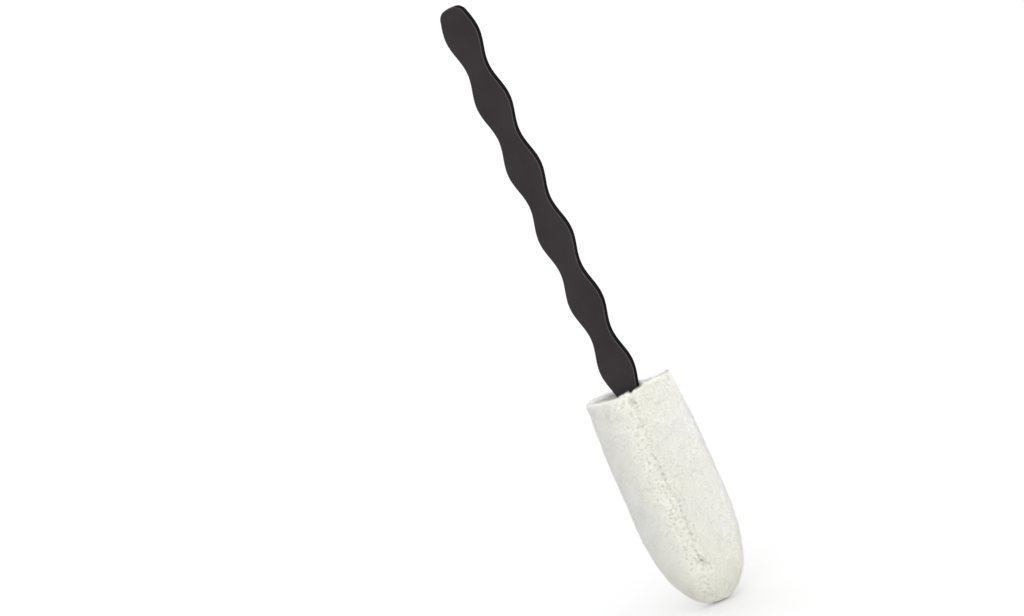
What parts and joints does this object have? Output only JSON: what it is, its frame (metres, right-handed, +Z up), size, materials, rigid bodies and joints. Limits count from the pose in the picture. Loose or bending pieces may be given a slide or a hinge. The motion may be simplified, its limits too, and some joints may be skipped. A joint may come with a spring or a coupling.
{
  "type": "wheel brush",
  "caption": "Detailing brush with a flat, wavy plastic handle pushed into a padded fleece sleeve that has a round closed tip and pulls off.",
  "frame": {"origin": "middle of the sleeve's closed tip, the lowest point of the brush held upright", "axes": "+Z up the handle towards its butt end, X across the blade's width, the front with the sewn seam faces -Y"},
  "size_m": [0.0504, 0.023, 0.324],
  "materials": {
    "charcoal_plastic": "fine satin moulded grain, charcoal",
    "fleece": "short nappy pile, cream white",
    "foam": "open-cell foam, charcoal grey",
    "thread": "twisted sewing thread, off-white"
  },
  "bodies": {
    "sleeve": {"fleece_cover": "fleece", "foam_pad_front": "foam", "foam_pad_back": "foam", "centre_seam_thread": "thread", "seam_tip_tack": "thread", "seam_mouth_tack": "thread", "end_seam_thread": "thread"},
    "handle": {"handle_blade": "charcoal_plastic"}
  },
  "joints": [
    {"name": "handle_pull", "type": "slide", "parent": "sleeve", "child": "handle", "axis": [0, 0, 1], "range_m": [0, 0.11]}
  ]
}
